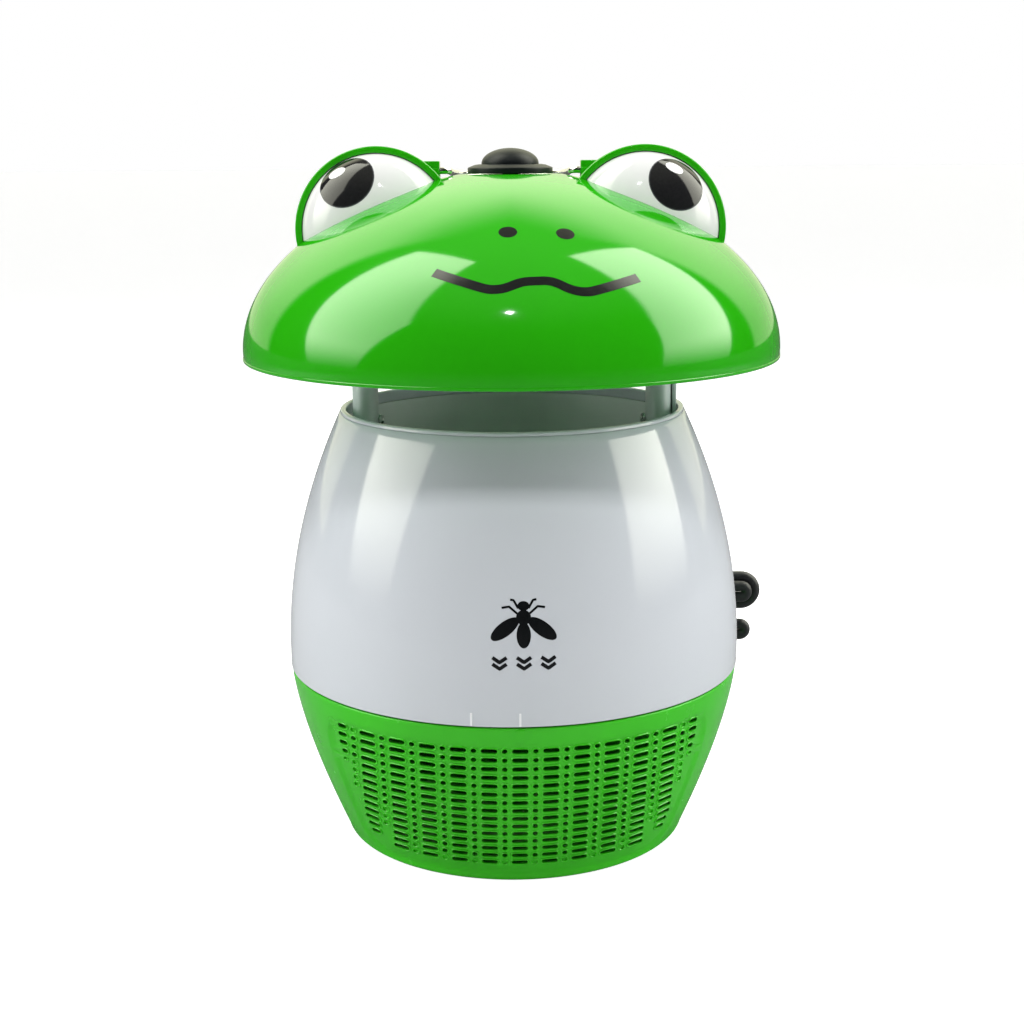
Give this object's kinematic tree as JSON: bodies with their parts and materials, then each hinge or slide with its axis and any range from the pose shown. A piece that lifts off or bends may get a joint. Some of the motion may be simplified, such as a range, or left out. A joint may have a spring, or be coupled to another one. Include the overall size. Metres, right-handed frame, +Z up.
{
  "type": "electric insect trap",
  "caption": "Toadstool-shaped insect trap: lit cap with frog eyes over a fan throat, white barrel body and a perforated catch basket that twists off.",
  "frame": {"origin": "centre of the catch basket's underside, on the floor", "axes": "+Z up along the body's axis, -Y towards the front with the eyes, +X to the viewer's right"},
  "size_m": [0.218, 0.2097, 0.2686],
  "materials": {
    "cap_green": "high gloss moulded plastic",
    "plate_green": "satin moulded plastic, pale green",
    "basket_green": "satin moulded plastic",
    "shell_white": "smooth satin gloss plastic",
    "eye_white": "glossy plastic with printed pupil",
    "duct_grey": "matt moulded plastic",
    "post_grey": "satin moulded plastic",
    "black_plastic": "fine satin plastic",
    "cord_black": "soft PVC sheath",
    "chrome_wire": "bright plated wire",
    "screw_steel": "zinc plated",
    "motor_steel": "drawn can",
    "board_green": "solder masked board",
    "lamp_lens": "tinted clear epoxy",
    "clear_cover": "clear polycarbonate",
    "transformer_tape": "polyester tape over a ferrite core"
  },
  "bodies": {
    "housing": {"base_ring": "shell_white", "base_screw_1": "screw_steel", "base_screw_2": "screw_steel", "base_screw_3": "screw_steel", "cap_screw_1": "screw_steel", "cap_screw_2": "screw_steel", "cap_screw_3": "screw_steel", "cap_shell": "cap_green", "capacitor": "black_plastic", "conduit_cover": "post_grey", "cord_grommet": "cord_black", "cord_tie": "black_plastic", "driver_board": "board_green", "eye_socket_left": "cap_green", "eye_socket_right": "cap_green", "eyeball_left": "eye_white", "eyeball_right": "eye_white", "fan_guard": "duct_grey", "fan_motor": "motor_steel", "intake_duct": "duct_grey", "intake_ring": "shell_white", "lamp_plate": "plate_green", "led_board": "board_green", "led_cover": "clear_cover", "main_shell": "shell_white", "motor_mount": "duct_grey", "plug_body": "cord_black", "plug_pin_lower": "chrome_wire", "plug_pin_upper": "chrome_wire", "post_left": "post_grey", "post_right": "post_grey", "post_screw_left": "screw_steel", "post_screw_right": "screw_steel", "power_cord": "cord_black", "switch_bezel": "black_plastic", "switch_body": "black_plastic", "transformer": "transformer_tape", "uv_led_1": "lamp_lens", "uv_led_2": "lamp_lens", "uv_led_3": "lamp_lens", "uv_led_4": "lamp_lens", "uv_led_5": "lamp_lens", "uv_led_6": "lamp_lens", "wiring_harness": "cord_black"},
    "fan": {"fan_impeller": "black_plastic", "motor_shaft": "screw_steel"},
    "basket": {"catch_basket": "basket_green"},
    "button": {"power_button": "black_plastic"},
    "bail": {"bail_handle": "chrome_wire"}
  },
  "joints": [
    {"name": "basket_twist", "type": "hinge", "parent": "housing", "child": "basket", "pos_m": [0, 0, 0.07], "axis": [0, 0, 1], "range_deg": [-11, 0]},
    {"name": "fan_spin", "type": "hinge", "parent": "housing", "child": "fan", "pos_m": [0, 0, 0.118], "axis": [0, 0, 1], "continuous": true},
    {"name": "button_press", "type": "slide", "parent": "housing", "child": "button", "axis": [0, 0, -1], "range_m": [0, 0.0025]},
    {"name": "bail_swing", "type": "hinge", "parent": "housing", "child": "bail", "pos_m": [0, 0, 0.2595], "axis": [1, 0, 0], "range_deg": [0, 183]}
  ]
}
